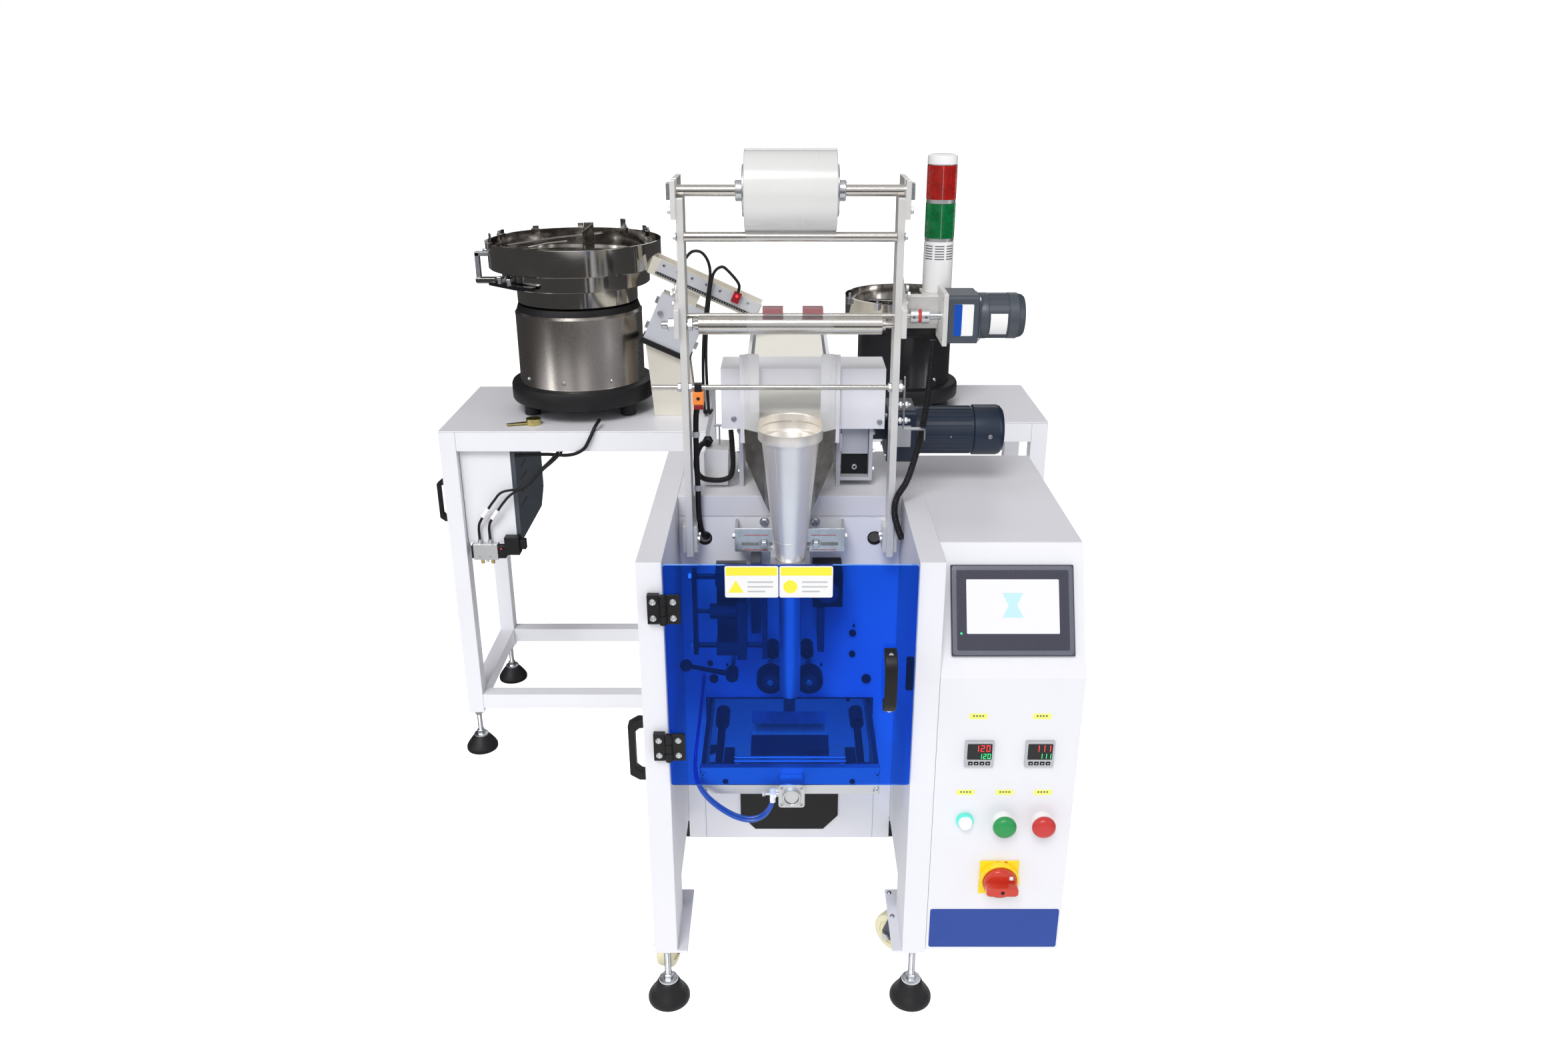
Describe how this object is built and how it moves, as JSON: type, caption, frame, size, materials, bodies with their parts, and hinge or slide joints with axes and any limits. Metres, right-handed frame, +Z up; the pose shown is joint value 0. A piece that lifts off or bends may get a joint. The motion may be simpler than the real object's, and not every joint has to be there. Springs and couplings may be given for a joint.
{
  "type": "vertical form fill sealer",
  "caption": "Bench-height vertical bagging machine: film frame, forming tube, guarded sealing jaws, side control cabinet, and vibratory bowls that feed it by a belt.",
  "frame": {"origin": "middle of the machine's footprint, on the floor it stands on", "axes": "+Z up, +X to the operator's right, +Y to the back, so the guard door faces -Y"},
  "size_m": [1.43, 1.327, 1.48],
  "materials": {
    "white_paint": "satin powder coat",
    "black_plastic": "matt",
    "slate_paint": "satin",
    "green_plastic": "gloss",
    "red_plastic": "gloss",
    "yellow_plastic": "satin",
    "blue_acrylic": "polished, clear blue",
    "stainless": "brushed",
    "zinc": "zinc plated",
    "film": "clear film on a roll",
    "rubber": "matt",
    "cream_plastic": "satin",
    "navy_paint": "satin"
  },
  "bodies": {
    "machine": {"left_wall": "white_paint", "right_wall": "white_paint", "mechanism_plate": "white_paint", "top_cover": "white_paint", "rear_cover": "white_paint", "control_cabinet": "white_paint", "post_left": "white_paint", "post_right": "white_paint", "tower_light": "white_paint", "left_bench": "white_paint", "right_bench": "white_paint", "conveyor_frame": "white_paint", "outfeed_guard": "black_plastic", "temperature_controller_left": "black_plastic", "temperature_controller_right": "black_plastic", "hinge_upper": "black_plastic", "hinge_lower": "black_plastic", "motor_conduit": "black_plastic", "left_bowl_base": "black_plastic", "right_bowl_base": "black_plastic", "hmi_panel": "slate_paint", "feed_motor": "slate_paint", "pilot_lamp": "green_plastic", "switch_base": "yellow_plastic", "guide_rod": "stainless", "hopper_tube": "stainless", "forming_collar": "stainless", "feed_chute": "stainless", "photo_eye_rod": "zinc", "tube_bracket": "zinc", "seal_cylinder": "zinc", "foot_front_left": "rubber", "foot_front_right": "rubber", "foot_rear_left": "rubber", "foot_rear_right": "rubber", "conveyor_belt": "cream_plastic", "conveyor_motor": "navy_paint"},
    "door": {"guard_door": "blue_acrylic", "door_handle": "black_plastic"},
    "start": {"start_button": "green_plastic"},
    "stop": {"stop_button": "red_plastic"},
    "knob": {"switch_knob": "red_plastic"},
    "roll": {"roll_shaft": "zinc", "film_roll": "film"},
    "pull": {"pull_roller": "stainless"},
    "feed": {"feed_shaft": "stainless"},
    "draw_left": {"draw_wheel_left": "rubber"},
    "draw_right": {"draw_wheel_right": "rubber"},
    "lever": {"release_lever": "black_plastic"},
    "yoke": {"seal_yoke": "stainless"},
    "jaw": {"jaw_frame": "zinc", "knife_cylinder": "zinc"},
    "rear": {"rear_jaw": "zinc"},
    "fork_left": {"caster_left_fork": "slate_paint"},
    "wheel_left": {"caster_left_wheel": "cream_plastic"},
    "fork_right": {"caster_right_fork": "slate_paint"},
    "wheel_right": {"caster_right_wheel": "cream_plastic"},
    "bowl_left": {"left_bowl": "stainless"},
    "bowl_right": {"right_bowl": "stainless"},
    "belt_drive": {"drive_roller": "stainless"}
  },
  "joints": [
    {"name": "door_hinge", "type": "hinge", "parent": "machine", "child": "door", "pos_m": [-0.104, -0.6305, 0.68], "axis": [0, 0, -1], "range_deg": [0, 110]},
    {"name": "start_press", "type": "slide", "parent": "machine", "child": "start", "axis": [0, 1, 0], "range_m": [0, 0.004], "stiffness_N_per_m": 300},
    {"name": "stop_press", "type": "slide", "parent": "machine", "child": "stop", "axis": [0, 1, 0], "range_m": [0, 0.004], "stiffness_N_per_m": 300},
    {"name": "knob_turn", "type": "hinge", "parent": "machine", "child": "knob", "pos_m": [0.458, -0.6385, 0.29], "axis": [0, 1, 0], "range_deg": [0, 90]},
    {"name": "roll_spin", "type": "hinge", "parent": "machine", "child": "roll", "pos_m": [0.096, -0.3405, 1.415], "axis": [1, 0, 0], "continuous": true},
    {"name": "pull_spin", "type": "hinge", "parent": "machine", "child": "pull", "pos_m": [0.096, -0.3565, 1.201], "axis": [1, 0, 0], "continuous": true},
    {"name": "feed_spin", "type": "hinge", "parent": "machine", "child": "feed", "pos_m": [0.096, -0.3382, 1.212], "axis": [1, 0, 0], "continuous": true},
    {"name": "draw_left_spin", "type": "hinge", "parent": "machine", "child": "draw_left", "pos_m": [0.06, -0.3785, 0.548], "axis": [0, 1, 0], "continuous": true},
    {"name": "draw_right_spin", "type": "hinge", "parent": "machine", "child": "draw_right", "pos_m": [0.132, -0.3785, 0.548], "axis": [0, 1, 0], "continuous": true},
    {"name": "lever_turn", "type": "hinge", "parent": "machine", "child": "lever", "pos_m": [-0.006, -0.4585, 0.6], "axis": [0, 1, 0], "range_deg": [0, 40]},
    {"name": "seal_slide", "type": "slide", "parent": "machine", "child": "yoke", "axis": [1, 0, 0], "range_m": [0, 0.0195]},
    {"name": "jaw_slide", "type": "slide", "parent": "machine", "child": "jaw", "axis": [0, 1, 0], "range_m": [0, 0.0195]},
    {"name": "rear_jaw_slide", "type": "slide", "parent": "machine", "child": "rear", "axis": [0, -1, 0], "range_m": [0, 0.0195]},
    {"name": "caster_left_swivel", "type": "hinge", "parent": "machine", "child": "fork_left", "pos_m": [-0.124, -0.4945, 0.1], "axis": [0, 0, 1], "continuous": true},
    {"name": "caster_left_roll", "type": "hinge", "parent": "fork_left", "child": "wheel_left", "pos_m": [-0.13047, -0.51968, 0.0525], "axis": [-0.9686, 0.2487, 0], "continuous": true},
    {"name": "caster_right_swivel", "type": "hinge", "parent": "machine", "child": "fork_right", "pos_m": [0.316, -0.4945, 0.1], "axis": [0, 0, 1], "continuous": true},
    {"name": "caster_right_roll", "type": "hinge", "parent": "fork_right", "child": "wheel_right", "pos_m": [0.29705, -0.4767, 0.0525], "axis": [0.6845, 0.729, 0], "continuous": true},
    {"name": "bowl_left_shake", "type": "hinge", "parent": "machine", "child": "bowl_left", "pos_m": [-0.394, 0.4385, 1.1], "axis": [0, 0, 1], "range_deg": [-1.5, 1.5], "stiffness_Nm_per_rad": 600},
    {"name": "bowl_right_shake", "type": "hinge", "parent": "machine", "child": "bowl_right", "pos_m": [0.373, 0.4775, 1.05], "axis": [0, 0, 1], "range_deg": [-1.5, 1.5], "stiffness_Nm_per_rad": 400},
    {"name": "belt_drive_spin", "type": "hinge", "parent": "machine", "child": "belt_drive", "pos_m": [0.096, -0.2185, 0.978], "axis": [1, 0, 0], "continuous": true}
  ],
  "couplings": [
    {"joint": "feed_spin", "follows": "pull_spin", "ratio": -3.2},
    {"joint": "draw_right_spin", "follows": "draw_left_spin", "ratio": -1},
    {"joint": "rear_jaw_slide", "follows": "jaw_slide", "ratio": 1}
  ]
}
